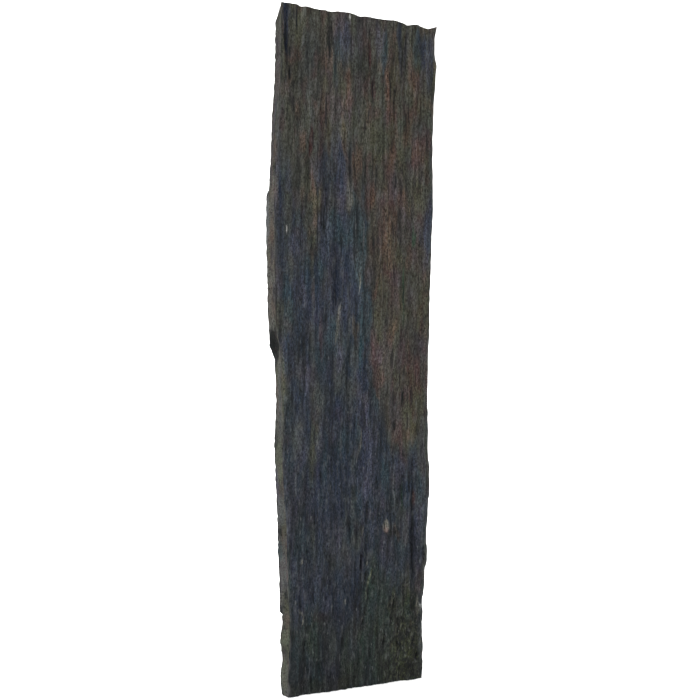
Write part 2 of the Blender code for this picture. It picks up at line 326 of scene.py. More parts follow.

# Marks: as the stains, with a depth in millimetres at the end (negative stands proud). The black marks
# that are cut in are partly dark stone and partly painted shade in these pits.
frontMarks = (
    ("navy", -113, 976, 3.6, 20, 0.00, 0.75, 0.4),
    ("navy", -113, 950, 2.8, 18, 0.00, 1.00, 1.2),
    ("black", -108, 936, 2.4, 9, 0.00, 0.80, 1.0),
    ("black", -107, 905, 2.4, 11, 0.00, 0.90, 1.0),
    ("black", -97, 976, 2.2, 18, 0.00, 0.85, 0.8),
    ("white", -15, 995, 1.3, 4, 0.00, 0.80, -0.3),
    ("black", -43, 962, 4.0, 36, 0.02, 0.60, 0.8),
    ("wine", 19, 948, 3.0, 22, 0.05, 0.85, 1.0),
    ("wine", 25, 898, 3.5, 18, 0.00, 0.80, 1.0),
    ("wine", -74, 802, 3.0, 28, 0.05, 0.85, 0.8),
    ("black", -52, 697, 3.0, 30, 0.05, 0.70, 0.8),
    ("blue", -27, 776, 4.5, 30, 0.00, 0.60, 0.4),
    ("pale", -14, 732, 5.0, 20, 0.05, 0.50, -0.6),
    ("grey", 7, 660, 1.8, 32, 0.03, 0.75, -0.6),
    ("grey", -4, 690, 1.6, 26, 0.00, 0.55, -0.5),
    ("pale", 2, 610, 1.4, 18, 0.04, 0.45, -0.4),
    ("white", -113, 681, 1.0, 6, 0.00, 0.75, -0.3),
    ("grey", -117, 712, 1.5, 18, 0.00, 0.45, -0.3),
    ("navy", -124, 712, 2.2, 44, 0.00, 0.75, 0.5),
    ("navy", -119, 655, 1.8, 30, 0.00, 0.60, 0.5),
    ("navy", -123, 516, 3.0, 20, 0.15, 0.85, 0.3),
    ("navy", -36, 598, 4.0, 34, 0.08, 0.90, 1.0),
    ("pale", -33, 541, 3.2, 22, 0.12, 0.45, -0.8),
    ("grey", -14, 548, 2.4, 30, 0.00, 0.45, -0.6),
    ("brown", -5, 546, 4.5, 15, 0.00, 0.75, 0.5),
    ("teal", 5, 520, 4.0, 48, 0.00, 0.70, -0.4),
    ("wine", 53, 622, 4.0, 5, 0.00, 0.90, 1.0),
    ("green", 92, 685, 3.0, 22, 0.00, 0.80, 0.6),
    ("green", 76, 590, 2.2, 60, 0.00, 0.75, 0.5),
    ("black", 61, 396, 3.5, 9, 0.20, 0.90, 1.0),
    ("black", 75, 424, 3.0, 12, 0.10, 0.75, 0.8),
    ("rust", 84, 378, 5.0, 10, -0.10, 0.30, 0.0),
    ("red", 100, 472, 5.0, 24, 0.00, 0.40, 0.0),
    ("pale", 3, 362, 3.0, 20, 0.20, 0.40, -0.8),
    ("grey", 60, 308, 1.6, 26, 0.00, 0.50, -0.5),
    ("olive", -76, 362, 4.0, 46, 0.02, 0.40, -0.4),
    ("black", 92, 235, 4.0, 80, 0.02, 0.52, 1.0),
    ("wine", 94, 274, 2.0, 14, 0.00, 0.55, 0.0),
    ("green", 73, 285, 2.2, 26, 0.00, 0.70, 0.4),
    ("pale", 49, 241, 7.0, 7, 0.20, 0.85, -1.4),
    ("pink", 49, 233, 5.0, 5, -0.40, 0.50, -1.0),
    ("black", 54, 241, 1.8, 8, 0.00, 0.80, 1.2),
    ("black", 55, 229, 5.0, 7, 0.00, 0.80, 1.2),
    ("black", 5, 239, 3.0, 8, 0.20, 0.85, 1.2),
    ("pale", 8, 234, 2.0, 8, 0.20, 0.60, -0.5),
    ("sage", 21, 167, 1.7, 8, 0.25, 0.85, -1.0),
    ("sage", 17, 153, 1.5, 8, 0.20, 0.80, -1.0),
    ("sage", 14, 137, 1.4, 9, 0.10, 0.70, -1.0),
    ("pale", 9, 104, 1.3, 4, 0.40, 0.60, -0.6),
    ("black", 12, 158, 1.9, 13, 0.16, 0.95, 1.3),
    ("black", 25, 160, 1.6, 10, 0.20, 0.85, 1.1),
    ("black", 18, 136, 1.5, 10, 0.10, 0.80, 1.1),
    ("black", 12, 114, 2.0, 12, 0.20, 0.90, 1.2),
    ("black", 7, 96, 1.8, 6, 0.60, 0.80, 1.0),
    ("pale", 16, 184, 1.4, 3, 0.00, 0.60, -0.4),
    ("pale", -93, 122, 2.4, 4, -0.60, 0.90, -0.6),
    ("pale", -88, 110, 1.8, 7, 0.20, 0.90, -0.6),
    ("black", -104, 88, 4.0, 15, 0.00, 0.70, 0.8),
    ("black", -85, 60, 3.2, 55, 0.00, 0.60, 0.8),
    ("wine", -60, 112, 14.0, 8, 0.00, 0.24, 0.3),
    ("white", 106, 114, 2.6, 3, 0.00, 0.85, -0.6),
    ("pale", 99, 104, 5.0, 14, 0.00, 0.55, -0.8),
    ("black", 72, 66, 5.5, 13, 0.00, 1.00, 1.6),
    ("black", 78, 96, 4.0, 9, 0.20, 0.80, 1.2),
    ("black", 62, 118, 3.5, 12, 0.10, 0.75, 1.0),
    ("black", 50, 27, 5.0, 7, 0.00, 1.00, 1.4),
    ("black", 84, 22, 7.0, 8, 0.00, 0.90, 1.4),
    ("black", 68, 44, 2.5, 24, 0.00, 0.80, 1.2),
    ("black", 76, 130, 2.6, 22, 0.10, 0.75, 1.0),
    ("black", 92, 60, 2.5, 16, 0.10, 0.80, 1.2),
    ("black", 84, 76, 3.0, 8, 0.30, 0.85, 1.2),
    ("black", 66, 88, 2.6, 9, -0.20, 0.80, 1.2),
    ("black", 98, 38, 3.0, 10, 0.00, 0.80, 1.2),
    ("black", 60, 72, 2.2, 14, 0.00, 0.80, 1.2),
    ("black", 54, 100, 2.4, 16, 0.15, 0.75, 1.0),
    ("black", 88, 118, 2.4, 12, 0.00, 0.80, 1.0),
    ("sage", 70, 30, 2.0, 8, 0.10, 0.60, -0.8),
    ("sage", 84, 58, 1.8, 7, -0.10, 0.60, -0.8),
    ("sage", 58, 132, 1.8, 9, 0.10, 0.55, -0.8),
    ("ochre", 88, 88, 1.8, 10, 0.00, 0.35, -0.8),
    ("sage", 72, 112, 1.6, 10, 0.10, 0.45, -0.8),
    ("ochre", 64, 86, 1.6, 14, 0.08, 0.38, -0.8),
    ("sage", 80, 48, 1.6, 12, 0.00, 0.45, -0.8),
    ("ochre", 56, 58, 1.8, 8, 0.20, 0.35, -0.8),
    ("black", 96, 92, 1.8, 12, 0.00, 0.85, 1.2),
    ("black", 70, 8, 3.0, 6, 0.00, 0.85, 1.2),
    ("black", 92, 12, 3.4, 6, 0.00, 0.80, 1.2),
    ("black", 76, 148, 1.8, 16, 0.10, 0.75, 1.0),
    ("black", 44, 74, 1.8, 18, 0.10, 0.75, 1.0),
    ("black", 30, 60, 1.8, 22, 0.05, 0.70, 0.9),
    ("black", 2, 52, 1.8, 20, 0.05, 0.65, 0.9),
    ("black", -24, 64, 1.8, 24, 0.00, 0.65, 0.9),
    ("black", -54, 52, 2.0, 26, 0.00, 0.65, 0.9),
    ("sage", 92, 76, 1.5, 8, 0.00, 0.50, -0.8),
    ("grey", 104, 52, 2.5, 10, 0.00, 0.50, -0.6),
    ("pale", -22, 132, 1.6, 5, 0.00, 0.50, -0.4),
    ("pale", -89, 197, 2.0, 4, 0.00, 0.75, -0.4),
    ("grey", -100, 300, 2.0, 20, 0.05, 0.50, -0.3),
    ("brown", 40, 480, 3.0, 20, 0.15, 0.60, 0.6),
    ("plum", -60, 520, 3.0, 40, 0.00, 0.60, 0.4),
)
backMarks = (
    ("black", -66, 780, 5.0, 90, -0.03, 0.75, 1.0),
    ("wine", 34, 860, 5.0, 60, 0.04, 0.70, 0.8),
    ("black", 81, 400, 5.0, 120, -0.04, 0.70, 1.0),
    ("navy", -31, 240, 5.0, 110, 0.02, 0.75, 0.8),
    ("grey", 10, 640, 3.0, 60, -0.03, 0.55, -0.6),
    ("rust", 60, 690, 7.0, 30, 0.10, 0.30, 0.0),
    ("pale", -95, 330, 3.0, 30, 0.10, 0.55, -0.6),
)

# Marks of the dressed left edge, with the depth behind the front face in the place of x; some black
# ones are painted shade.
edgeMarksAndShade = (
    # a dark line along the crest is painted shade where the side turns back
    ("black", 21, 500, 4, 600, 0.00, 0.35, 0.0),
    ("black", 16, 880, 40, 135, 0.00, 0.40, 0.0),
    ("black", 16, 200, 40, 210, 0.00, 0.22, 0.0),
    ("black", 20, 196, 3, 64, 0.00, 0.60, 0.0),
    ("sage", 3, 500, 7, 30, 0.00, 0.45, 0.0),
    # black in the notch is painted shade on the broken face under the standing back leaves
    ("black", 17, 506, 13, 29, -0.20, 1.00, 0.0),
    ("black", 12, 512, 9, 20, -0.10, 1.00, 0.0),
    ("black", 13, 497, 8, 9, 0.00, 1.00, 0.0),
    ("wine", 7, 526, 3, 4, 0.00, 0.50, 0.0),
    ("black", 3, 531, 4, 5, 0.00, 1.00, 0.0),
    ("plum", 8, 900, 9, 70, 0.00, 0.35, 0.0),
    ("olive", 9, 968, 8, 16, 0.00, 0.40, 0.0),
    ("plum", 12, 800, 7, 62, 0.00, 0.30, 0.0),
    ("grey", 17, 690, 6, 46, 0.00, 0.60, 0.0),
    ("black", 18, 730, 4, 4, 0.00, 0.80, 0.0),
    ("rust", 5, 790, 4, 20, 0.00, 0.40, 0.0),
    ("teal", 6, 842, 4, 16, 0.00, 0.35, 0.0),
    ("rust", 6, 672, 5, 18, 0.00, 0.35, 0.0),
    ("brown", 7, 700, 6, 40, 0.00, 0.20, 0.0),
    ("grey", 6, 430, 7, 60, 0.00, 0.35, 0.0),
    ("black", 16, 410, 40, 90, 0.00, 0.10, 0.0),
    ("violet", 16, 312, 5, 26, 0.00, 0.55, 0.0),
    ("olive", 5, 318, 5, 24, 0.00, 0.35, 0.0),
    ("sage", 8, 345, 9, 30, 0.00, 0.45, 0.0),
    ("grey", 11, 272, 12, 22, 0.00, 0.50, 0.0),
    ("olive", 6, 240, 8, 10, 0.00, 0.50, 0.0),
    ("black", 13, 240, 3.5, 6, 0.00, 1.00, 0.0),
    ("grey", 12, 180, 12, 26, 0.00, 0.40, 0.0),
    ("teal", 15, 212, 7, 14, 0.00, 0.55, 0.0),
    ("plum", 15, 176, 8, 22, 0.00, 0.25, 0.0),
    ("black", 4, 147, 4, 6, 0.20, 1.00, 0.0),
    # painted shadow under the ledge where the crest steps in
    ("black", 18, 125, 6, 6, 0.00, 1.00, 0.0),
    ("pink", 8, 112, 5, 10, 0.00, 0.22, 0.0),
    ("green", 2, 82, 3, 12, 0.00, 0.45, 0.0),
    ("olive", 14, 80, 6, 14, 0.00, 0.45, 0.0),
    ("sage", 9, 88, 9, 14, 0.00, 0.50, 0.0),
    ("sage", 10, 30, 12, 30, 0.00, 0.45, 0.0),
    ("black", 12, 100, 3, 4, 0.00, 0.70, 0.0),
)


def interpolate(points, position):
    previous = points[0]
    if position <= previous[0]:
        return previous[1]
    for point in points[1:]:
        if position <= point[0]:
            share = (position - previous[0]) / (point[0] - previous[0])
            return previous[1] + share * (point[1] - previous[1])
        previous = point
    return previous[1]


def outline(points, position):
    return interpolate(points, position / mm) * mm


def smoothStep(value):
    value = min(max(value, 0.0), 1.0)
    return value * value * (3.0 - 2.0 * value)


def wave(waves, across, along):
    return waves[0] * noise.noise((across / waves[1], waves[3], along / waves[2]))


def terraces(waves, count, flatness, across, along):
    level = noise.noise((across / waves[1], waves[3], along / waves[2])) * count
    tread = math.floor(level)
    rise = smoothStep((level - tread - flatness) / (1.0 - flatness))
    return waves[0] * (tread + rise)


def grooveDepth(grooves, across, along):
    x = across / mm
    z = along / mm
    depth = 0.0
    for headX, headZ, footX, footZ, halfWidth, cut in grooves:
        beyond = max(z - headZ, footZ - z, 0.0)
        if beyond > slab["grooveFade"]:
            continue
        centre = headX + (headZ - z) / (headZ - footZ) * (footX - headX)
        reach = smoothStep(1.0 - beyond / slab["grooveFade"])
        depth += cut * reach * math.exp(-(((x - centre) / halfWidth) ** 2))
    return depth * mm


def linear(red, green, blue):
    # colours are kept as screen values from 0 to 255 and turned into light values here
    values = [channel / 255.0 for channel in (red, green, blue)]
    values = [v / 12.92 if v < 0.04045 else ((v + 0.055) / 1.055) ** 2.4 for v in values]
    return (*values, 1.0)


def patchReach(patch, across, along, ragged, comb):
    # 0 at the middle of a patch and 1 at its edge, which is ragged and combed along the grain
    _, x, z, halfWidth, halfHeight, lean, *_ = patch
    rise = along / mm - z
    side = across / mm - x - lean * rise + ragged * min(halfWidth, slab["raggedMost"])
    rise += comb * min(halfHeight, slab["combMost"])
    return math.hypot(side / halfWidth, rise / halfHeight)


def nearPatches(patches, along):
    return [patch for patch in patches if abs(along / mm - patch[2]) < 2.4 * patch[4]]


def markDepth(marks, across, along):
    depth = 0.0
    for patch in marks:
        depth += patch[7] * math.exp(-patchReach(patch, across, along, 0.0, 0.0) ** 2)
    return depth * mm


def paint(patches, across, along, softness, seed, raggedness=1.0):
    # the pigment of the patches that lie over each other here, and how strongly it covers
    broad = noise.noise((across / 0.014, along / 0.050, seed))
    thin = noise.noise((across / 0.0055, along / 0.022, seed + 5.0))
    comb = raggedness * 1.2 * noise.noise((across / 0.0080, along / 0.120, seed + 9.0))
    ragged = raggedness * (0.90 * broad + 0.60 * thin)
    red, green, blue, cover = 0.0, 0.0, 0.0, 0.0
    for patch in patches:
        soft = softness * min(1.0, slab["softMost"] / patch[3])
        reach = patchReach(patch, across, along, ragged, comb)
        mask = patch[6] * smoothStep((1.0 + soft - reach) / (2.0 * soft))
        if mask > 0.0:
            shade = pigments[patch[0]]
            total = mask + cover * (1.0 - mask)
            share = mask / total
            red += (shade[0] - red) * share
            green += (shade[1] - green) * share
            blue += (shade[2] - blue) * share
            cover = total
    return (*linear(red, green, blue)[:3], cover)


def mainHeight(waves, across, along):
    height = terraces(waves["leaves"], slab["leafCount"], slab["leafFlatness"], across, along)
    for name in ("swell", "ridges", "streaks"):
        height += wave(waves[name], across, along)
    return min(max(height, -slab["faceLimit"]), slab["faceLimit"])


def fineHeight(across, along, seed):
    # fibres, threads and thin flakes that follow the same slightly leaning grain
    drift = fine["wander"] * noise.noise((across / 0.08, seed, along / 0.16))
    x = across - fine["lean"] * along + drift
    fibre = fine["fibres"]
    ridge = noise.noise((x / fibre[1], fibre[3] + seed, along / fibre[2]))
    height = fibre[0] * (0.6 - 3.0 * abs(ridge))
    for name in ("threads", "grain"):
        size, acrossLength, alongLength, own = fine[name]
        height += size * noise.noise((x / acrossLength, own + seed, along / alongLength))
    flake = fine["flakes"]
    shifted = (flake[0], flake[1], flake[2], flake[3] + seed)
    steps = terraces(shifted, fine["flakeCount"], fine["flakeFlatness"], x, along)
    steps += splitHeight(x, along, seed)
    return height, steps


def crustHeight(across, along):
    # crumbled places where the grain is lost
    depth = 0.0
    for x, z, halfWidth, halfHeight, size in frontCrusts:
        reach = math.hypot((across / mm - x) / halfWidth, (along / mm - z) / halfHeight)
        depth = max(depth, size * smoothStep(1.6 - reach))
    if depth == 0.0:
        return 0.0
    rough = noise.noise((across / crustGrain[0], along / crustGrain[1], crustGrain[2]))
    return depth * mm * (0.25 - 1.8 * abs(rough))


def splitHeight(across, along, seed):
    # thin split pieces that lie at their own heights and tilts, with sharp steps between them
    size, acrossLength, alongLength, own = fine["splits"]
    place = Vector((across / acrossLength, along / alongLength, own + seed))
    middle = noise.voronoi(place)[1][0]
    level = noise.cell(middle * 31.0) - 0.5
    tilt = fine["splitTilt"] * (noise.cell(middle * 47.0) - 0.5)
    share = interpolate(fine["splitShare"], along / mm) * min(1.0, 0.3 + along / fine["footCalm"])
    return size * share * (level + tilt * (place.x - middle.x))


def leftSide(through, along):
    edge = outline(leftFrontEdge, along)
    crest = outline(leftCrest, along)
    crestShare = slab["crestDepth"] / slab["thickness"]
    if through > crestShare:
        return crest + slab["leftBackInset"] * (through - crestShare) / (1.0 - crestShare)
    # inside the notch the front leaves are gone and the side turns out to the crest late
    inside = 1.0 - abs(along - slab["notchHeight"]) / slab["notchHalfHeight"]
    broken = slab["notchSharpness"] * smoothStep(slab["notchSteepness"] * inside)
    return edge + (crest - edge) * (through / crestShare) ** (1.0 + broken)


def rightSide(through, along):
    bulge = slab["rightBulge"] * math.sin(math.pi * through)
    chips = wave(sideChips, through * slab["thickness"], along) * math.sin(math.pi * through)
    inset = slab["rightBackInset"] * through * through
    return outline(rightFrontEdge, along) + bulge - inset + chips


def sideRoughness(through, along, seed):
    # thin laminae parallel to the faces, and the bites that dressing leaves
    depth = through * slab["thickness"]
    lamina = fine["laminae"]
    bite = fine["bites"]
    rough = lamina[0] * noise.noise((depth / lamina[1], lamina[3] + seed, along / lamina[2]))
    bitten = noise.noise((depth / bite[1], bite[3] + seed, along / bite[2]))
    teeth = wave(fine["edgeTeeth"], depth + seed, along)
    return rough + bite[0] * (0.4 - abs(bitten) * 2.0) * math.sin(math.pi * through) + teeth


def headHeight(across, through):
    rough = slab["headRoughness"] * wave(headChips, across, through * slab["thickness"])
    teeth = wave(fine["headTeeth"], across, through * slab["thickness"])
    steps = terraces((0.0009, 0.03, 0.006, 43.3), 6.0, 0.8, across, through * slab["thickness"])
    drop = slab["headBackDrop"] + rough
    return outline(head, across) - through * (drop - steps) + teeth * min(1.0, 0.5 + through)


def rowHeights():
    rows = [slab["sharpRows"][0]]
    for low, high in zip(slab["sharpRows"], slab["sharpRows"][1:]):
        count = max(1, round((high - low) / slab["rowStep"]))
        rows += [low + (high - low) * step / count for step in range(1, count + 1)]
    return rows


def buildSlab():
    columns = slab["columns"]
    sides = slab["sideSteps"]
    rows = rowHeights()
    lastRow = len(rows) - 1
    mesh = bmesh.new()
    reliefLayer = mesh.verts.layers.float.new("relief")
    edgeLayer = mesh.verts.layers.float.new("edge")
    stainLayer = mesh.verts.layers.float_color.new("stain")
    markLayer = mesh.verts.layers.float_color.new("markAndShade")
    made = {}
    reaching = {}

    def patchesAt(row, isFront):
        # the stains and marks that reach this row
        key = (row, isFront)
        if key not in reaching:
            lists = (frontStains, frontMarks) if isFront else (backStains, backMarks)
            reaching[key] = [nearPatches(patches, rows[row]) for patches in lists]
        return reaching[key]

    def faceDepth(across, row, left, right, isFront):
        along = rows[row]
        inside = min(across - left, right - across)
        calm = smoothStep(inside / slab["edgeCalmWidth"])
        calm = slab["edgeCalmShare"] + (1.0 - slab["edgeCalmShare"]) * calm
        waves = frontWaves if isFront else backWaves
        grooves = frontGrooves if isFront else backGrooves
        small, flakes = fineHeight(across, along, 0.0 if isFront else 50.0)
        worn = max(0.0, 1.0 - max(inside, 0.0) / fine["arrisWidth"]) ** 2
        chipped = 1.0 + 1.6 * noise.noise((along / 0.009, 3.3, 0.0 if isFront else 9.0))
        if isFront:
            small += crustHeight(across, along) * min(1.0, 0.3 + along / fine["footCalm"])
        height = mainHeight(waves, across, along) * calm + small + flakes
        height -= grooveDepth(grooves, across, along) + fine["arrisWear"] * worn * chipped
        height -= markDepth(patchesAt(row, isFront)[1], across, along)
        return height, small, worn

    def vertex(column, side, row):
        key = (column, side, row)
        if key in made:
            return made[key]
        along = rows[row]
        through = side / sides
        share = column / columns
        reach = fine["edgeReach"]
        left = leftSide(through, along) + sideRoughness(through, along, 0.0) - reach
        right = rightSide(through, along) - sideRoughness(through, along, 20.0) + reach
        across = left + (right - left) * share
        frontLeft = leftSide(0.0, along)
        frontRight = rightSide(0.0, along)
        relief = 0.5
        worn = 0.0
        if side == 0:
            height, small, worn = faceDepth(across, row, frontLeft, frontRight, True)
            depth = -height
            relief = 0.5 + small / slab["reliefRange"]
        elif side == sides:
            backLeft = leftSide(1.0, along)
            backRight = rightSide(1.0, along)
            height, small, worn = faceDepth(across, row, backLeft, backRight, False)
            depth = slab["thickness"] + height
            relief = 0.5 + small / slab["reliefRange"]
        else:
            front = -faceDepth(across, row, frontLeft, frontRight, True)[0]
            back = slab["thickness"] + faceDepth(across, row, frontLeft, frontRight, False)[0]
            depth = front + (back - front) * through
        z = along / slab["height"] * headHeight(across, through)
        point = mesh.verts.new((across, depth, z))
        point[reliefLayer] = min(max(relief, 0.0), 1.0)
        point[edgeLayer] = worn
        stains, marks = patchesAt(row, side < sides)
        raggedness, softness = 1.0, slab["markSoftness"]
        if 0 < side < sides:
            stains, marks = (), nearPatches(edgeMarksAndShade, along) if share < 0.5 else ()
            across = through * slab["thickness"]
            raggedness, softness = slab["edgeRaggedness"], slab["edgeSoftness"]
        point[stainLayer] = paint(stains, across, along, slab["stainSoftness"], 3.0)
        point[markLayer] = paint(marks, across, along, softness, 7.0, raggedness)
        made[key] = point
        return point

    ring = [(column, 0) for column in range(columns)]
    ring += [(columns, side) for side in range(sides)]
    ring += [(column, sides) for column in range(columns, 0, -1)]
    ring += [(0, side) for side in range(sides, 0, -1)]

    def addFace(corners, slotIndex):
        face = mesh.faces.new([vertex(*corner) for corner in corners])
        face.material_index = slotIndex
        face.smooth = True

    for row in range(lastRow):
        for start, end in zip(ring, ring[1:] + ring[:1]):
            if start[1] == 0 and end[1] == 0:
                slotIndex = 0
            elif start[1] == sides and end[1] == sides:
                slotIndex = 1
            else:
                slotIndex = 2
            addFace(((*start, row), (*end, row), (*end, row + 1), (*start, row + 1)), slotIndex)
    for column in range(columns):
        for side in range(sides):
            near = ((column, side), (column + 1, side))
            far = ((column + 1, side + 1), (column, side + 1))
            addFace([(*corner, lastRow) for corner in near + far], 2)
            addFace([(*corner, 0) for corner in reversed(near + far)], 3)
    data = bpy.data.meshes.new("riven_slab")
    mesh.to_mesh(data)
    mesh.free()
    return data


def placeSlab(data):
    piece = bpy.data.objects.new("riven_slab", data)
    bpy.context.scene.collection.objects.link(piece)
    low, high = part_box("slate_slab")
    for axis in (0, 1):
        values = [point.co[axis] for point in data.vertices]
        piece.location[axis] = (low[axis] + high[axis]) / 2 - (min(values) + max(values)) / 2
    data.set_sharp_from_angle(angle=math.radians(slab["sharpAngle"]))
    return piece


# ---- materials ------------------------------------------------------------------------------


def addNode(tree, kind, inputs=None, **settings):
    made = tree.nodes.new(kind)
    count = len(tree.nodes)
    made.location = (200 * (count % 12), -220 * (count // 12))
    for name, value in settings.items():
        setattr(made, name, value)
    for name, value in (inputs or {}).items():
        if isinstance(value, bpy.types.NodeSocket):
            tree.links.new(value, made.inputs[name])
        else:
            made.inputs[name].default_value = value
    return made


def calculate(tree, operation, first, second=0.0, third=0.0, clamp=False):
    inputs = {0: first, 1: second, 2: third}
    made = addNode(tree, "ShaderNodeMath", inputs, operation=operation, use_clamp=clamp)
    return made.outputs[0]


def spread(tree, value, low, high, newLow=0.0, newHigh=1.0, smooth=False):
    kind = "SMOOTHSTEP" if smooth else "LINEAR"
    inputs = {"Value": value, "From Min": low, "From Max": high, "To Min": newLow, "To Max": newHigh}
    return addNode(tree, "ShaderNodeMapRange", inputs, interpolation_type=kind).outputs["Result"]


def blend(tree, factor, first, second, kind="MIX"):
    made = addNode(tree, "ShaderNodeMix", data_type="RGBA", blend_type=kind)
    for index, value in ((0, factor), (6, first), (7, second)):
        if isinstance(value, bpy.types.NodeSocket):
            tree.links.new(value, made.inputs[index])
        else:
            made.inputs[index].default_value = value
    return made.outputs[2]


def newGroup(name, inputs, outputs):
    group = bpy.data.node_groups.new(name, "ShaderNodeTree")
    for label, kind, start in inputs:
        socket = group.interface.new_socket(label, in_out="INPUT", socket_type=kind)
        if start is not None:
            socket.default_value = start
    for label, kind in outputs:
        group.interface.new_socket(label, in_out="OUTPUT", socket_type=kind)
    start = group.nodes.new("NodeGroupInput")
    end = group.nodes.new("NodeGroupOutput")
    return group, start, end


number = "NodeSocketFloat"
vector = "NodeSocketVector"


def makeStreaks():
    # long fibres: noise squeezed across the grain and stretched along it
    inputs = (("Vector", vector, None), ("Width", number, 0.003), ("Length", number, 0.06),
              ("Lean", number, 0.03), ("Seed", number, 0.0), ("Roughness", number, 0.55))
    group, start, end = newGroup("Riven Streaks", inputs, (("Streak", number),))
    parts = addNode(group, "ShaderNodeSeparateXYZ", {0: start.outputs["Vector"]})
    shift = calculate(group, "MULTIPLY", parts.outputs[2], start.outputs["Lean"])
    x = calculate(group, "SUBTRACT", parts.outputs[0], shift)
    x = calculate(group, "DIVIDE", x, start.outputs["Width"])
    y = calculate(group, "MULTIPLY_ADD", parts.outputs[1], 60.0, start.outputs["Seed"])
    z = calculate(group, "DIVIDE", parts.outputs[2], start.outputs["Length"])
    place = addNode(group, "ShaderNodeCombineXYZ", {0: x, 1: y, 2: z})
    cloud = addNode(group, "ShaderNodeTexNoise", {
        "Vector": place.outputs[0], "Scale": 1.0, "Detail": 2.0,
        "Roughness": start.outputs["Roughness"]})
    group.links.new(spread(group, cloud.outputs[0], 0.25, 0.75), end.inputs["Streak"])
    return group


def makeGrain():
    # mineral grain: fine speckle, and a height for the smallest roughness
    inputs = (("Vector", vector, None), ("Size", number, 0.0012), ("Stretch", number, 2.0))
    group, start, end = newGroup("Slate Grain", inputs, (("Speckle", number), ("Height", number)))
    parts = addNode(group, "ShaderNodeSeparateXYZ", {0: start.outputs["Vector"]})
    z = calculate(group, "DIVIDE", parts.outputs[2], start.outputs["Stretch"])
    place = addNode(group, "ShaderNodeCombineXYZ", {0: parts.outputs[0], 1: parts.outputs[1], 2: z})
    scale = calculate(group, "DIVIDE", 1.0, start.outputs["Size"])
    cloud = addNode(group, "ShaderNodeTexNoise", {
        "Vector": place.outputs[0], "Scale": scale, "Detail": 3.0, "Roughness": 0.65})
    cells = addNode(group, "ShaderNodeTexVoronoi", {"Vector": place.outputs[0], "Scale": scale})
    group.links.new(spread(group, cloud.outputs[0], 0.3, 0.7), end.inputs["Speckle"])
    height = calculate(group, "MULTIPLY_ADD", cells.outputs["Distance"], 0.5, cloud.outputs[0])
    group.links.new(height, end.inputs["Height"])
    return group


def makeWearAndShading():
    # painted shade where the relief lies deep and painted highlight where it stands proud, with real
    # wear where the long edges are rubbed
    inputs = (("Relief", number, 0.5), ("Edge", number, 0.0), ("Streak", number, 0.5),
              ("Amount", number, 1.0))
    group, start, end = newGroup("Edge Wear And Relief Shading", inputs, (("WornAndHighlight", number), ("PaintedShade", number)))
    proud = spread(group, start.outputs["Relief"], 0.55, 0.95)
    broken = spread(group, start.outputs["Streak"], 0.35, 0.75)
    rubbed = calculate(group, "MULTIPLY", start.outputs["Edge"], broken)
    worn = calculate(group, "MAXIMUM", proud, rubbed)
    worn = calculate(group, "MULTIPLY", worn, start.outputs["Amount"], clamp=True)
    deep = spread(group, start.outputs["Relief"], 0.45, 0.05)
    paintedShade = calculate(group, "MULTIPLY", deep, start.outputs["Amount"], clamp=True)
    group.links.new(worn, end.inputs["WornAndHighlight"])
    group.links.new(paintedShade, end.inputs["PaintedShade"])
    return group


def useGroup(tree, group, inputs):
    made = addNode(tree, "ShaderNodeGroup", node_tree=group)
    for name, value in inputs.items():
        if isinstance(value, bpy.types.NodeSocket):
            tree.links.new(value, made.inputs[name])
        else:
            made.inputs[name].default_value = value
    return made


def startMaterial(name):
    material = bpy.data.materials.new(name)
    material.use_nodes = True
    tree = material.node_tree
    shader = tree.nodes["Principled BSDF"]
    place = tree.nodes.new("ShaderNodeTexCoord").outputs["Object"]
    return material, tree, shader, place


rivenFace = {
    "head": (49, 49, 43),
    "middle": (44, 45, 42),
    "foot": (31, 36, 36),
    "footDarkening": 0.50,
    "streakDark": 0.24,
    "streakPale": 2.07,
    "vivid": (1.55, 0.75),
    # colour of the painted shade in hollows, cracks and pits
    "paintedShade": (15, 17, 19),
    "crack": 0.65,
    "paintedGlint": 0.45,
    # colour of rubbed edges, also used for the painted highlights and glints
    "worn": (92, 94, 94),
    "crumb": (78, 80, 58),
    "roughness": (0.52, 0.78),
    "bump": 0.45,
}

# Tints that come and go along the grain: pigment, width, length, how rare (0 to 1), strength
# where the stone is warm and strength where it is cool.
rivenTints = (
    ("rust", 0.0220, 0.050, 0.56, 0.42, 0.00),
    ("plum", 0.0260, 0.045, 0.52, 0.45, 0.20),
    ("olive", 0.0200, 0.070, 0.50, 0.75, 0.40),
    ("teal", 0.0260, 0.080, 0.50, 0.15, 0.70),
    ("violet", 0.0240, 0.065, 0.52, 0.12, 0.42),
    ("navy", 0.0200, 0.080, 0.52, 0.20, 0.70),
    ("wine", 0.0150, 0.035, 0.58, 0.50, 0.15),
)

groups = {"streaks": makeStreaks(), "grain": makeGrain(), "wearAndShading": makeWearAndShading()}
print("node groups made")


def streak(tree, place, width, length, lean=0.012, seed=0.0, roughness=0.55):
    inputs = {"Vector": place, "Width": width, "Length": length, "Lean": lean, "Seed": seed,
              "Roughness": roughness}
    return useGroup(tree, groups["streaks"], inputs).outputs["Streak"]


def cover(tree, name, colour, breakUp):
    # lays the mesh's painted pigments, with the shade painted among them, over a colour
    painted = addNode(tree, "ShaderNodeAttribute", attribute_name=name)
    share = calculate(tree, "MULTIPLY", painted.outputs["Alpha"], breakUp, clamp=True)
    return blend(tree, share, colour, painted.outputs["Color"])


